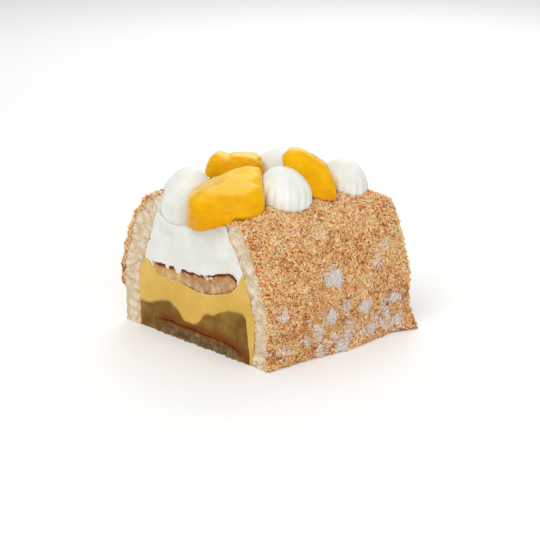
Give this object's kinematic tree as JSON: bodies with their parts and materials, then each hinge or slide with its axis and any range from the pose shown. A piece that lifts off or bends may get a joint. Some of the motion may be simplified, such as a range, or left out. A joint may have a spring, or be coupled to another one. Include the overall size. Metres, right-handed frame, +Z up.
{
  "type": "log cake",
  "caption": "Log-shaped cake cut square at both ends: coated sponge sides round apple, custard, sponge and cream, with piped cream and peach along the top.",
  "frame": {"origin": "centre of the bounding box at the height of the cake's flat foot", "axes": "+X across the log towards its right-hand side as seen from the front cut, +Y along the log from the front cut to the back cut, +Z up"},
  "size_m": [0.1248, 0.1196, 0.1064],
  "materials": {
    "toasted_coat": "rough toasted crumb over sponge, dusted with sugar",
    "sponge": "porous baked sponge",
    "apple": "moist set fruit filling",
    "custard": "smooth satin custard",
    "cream": "whipped cream, soft and matt",
    "peach": "wet, slightly see-through fruit"
  },
  "bodies": {
    "root": {"sponge_side_left": "toasted_coat", "sponge_side_right": "toasted_coat", "base_sponge": "sponge", "apple_filling": "apple", "custard_layer": "custard", "sponge_tier": "sponge", "cream_layer": "cream", "cream_shell_front_left": "cream", "cream_shell_middle_right": "cream", "cream_shell_back_left": "cream", "cream_shell_back_right": "cream", "peach_front_right": "peach", "peach_middle_left": "peach", "peach_back_right": "peach", "peach_back_left": "peach"}
  },
  "joints": []
}
